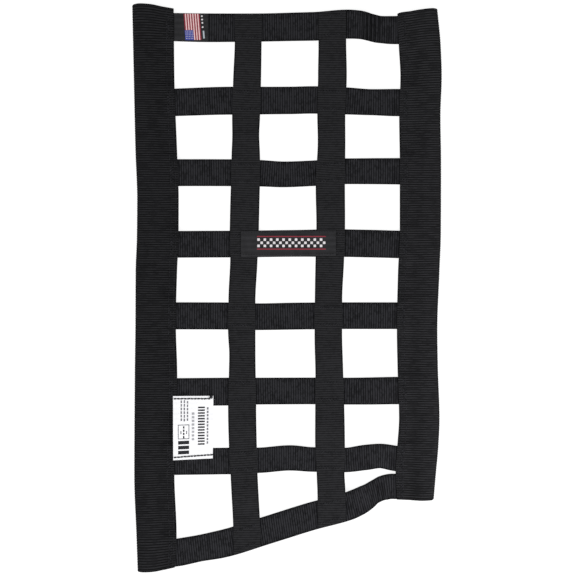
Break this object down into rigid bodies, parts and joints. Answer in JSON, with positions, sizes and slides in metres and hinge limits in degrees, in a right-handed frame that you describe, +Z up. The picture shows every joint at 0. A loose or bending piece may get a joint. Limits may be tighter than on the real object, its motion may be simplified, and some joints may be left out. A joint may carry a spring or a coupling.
{
  "type": "racing window net",
  "caption": "Flat window net of black webbing: cross straps sewn under uprights and into a folded rod sleeve at each side, with one slanting end and three sewn-on labels.",
  "frame": {"origin": "middle of the bounding box's underside, on the surface that the net lies on", "axes": "+X along the cross straps, from the longer sleeve to the shorter one; +Y along the sleeves, from the slanting end to the square one; +Z up, out of the face with the labels"},
  "size_m": [0.2958, 0.5448, 0.0138],
  "materials": {
    "webbing": "ribbed black polyester webbing, dull",
    "sleeve_webbing": "wide ribbed black polyester webbing, dull",
    "black_satin": "smooth black satin ribbon with a woven pattern",
    "flag_weave": "black ribbon with a woven flag in red, white and blue",
    "white_taffeta": "white taffeta with printed lines, satin"
  },
  "bodies": {
    "root": {"cross_strap_1": "webbing", "cross_strap_2": "webbing", "cross_strap_3": "webbing", "cross_strap_4": "webbing", "cross_strap_5": "webbing", "cross_strap_6": "webbing", "cross_strap_7": "webbing", "cross_strap_8": "webbing", "upright_left": "webbing", "upright_right": "webbing", "sleeve_left": "sleeve_webbing", "sleeve_right": "sleeve_webbing", "centre_label": "black_satin", "flag_label": "flag_weave", "white_tag": "white_taffeta"}
  },
  "joints": []
}
